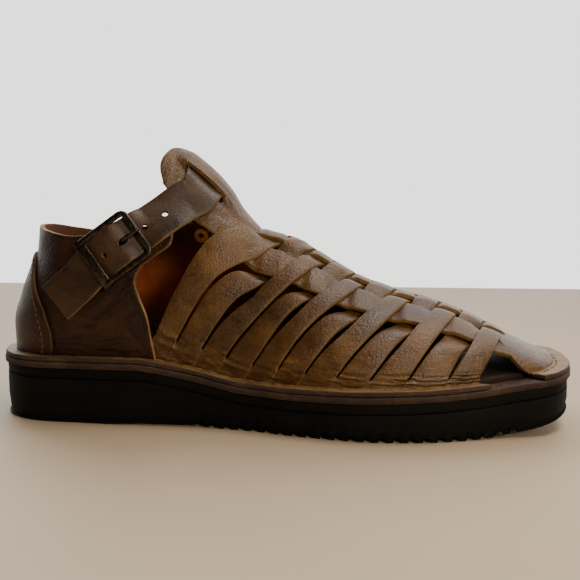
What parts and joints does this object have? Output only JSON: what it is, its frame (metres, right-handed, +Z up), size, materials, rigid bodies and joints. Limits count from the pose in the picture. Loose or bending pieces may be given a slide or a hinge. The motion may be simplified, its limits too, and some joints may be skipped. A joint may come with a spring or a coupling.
{
  "type": "huarache sandal",
  "caption": "Closed-heel leather sandal with a woven strap vamp, buckled ankle strap and a rubber wedge sole, for the right foot.",
  "frame": {"origin": "on the floor, under the middle of the box that holds the whole shoe", "axes": "+X to the toe, +Y to the inner side of the foot, +Z up from the floor"},
  "size_m": [0.3016, 0.1102, 0.142],
  "materials": {
    "sole_rubber": "matte black rubber, slightly dusty",
    "sole_sheet": "matte black rubber sheet",
    "leather_board": "rough cut leather board edge",
    "footbed": "smooth red-brown leather",
    "upper_leather": "waxed pull-up leather, pebbled, olive-brown",
    "strap_leather": "smooth dark brown strap leather",
    "buckle_metal": "dark antique bronze, worn bright on its edges",
    "rivet_metal": "coppery brass"
  },
  "bodies": {
    "root": {"outsole": "sole_rubber", "midsole": "sole_sheet", "leather_midsole": "leather_board", "insole": "footbed", "upper": "upper_leather", "heel_counter": "upper_leather", "ankle_strap": "strap_leather", "buckle_frame": "buckle_metal", "buckle_prong": "buckle_metal", "rivet": "rivet_metal"}
  },
  "joints": []
}
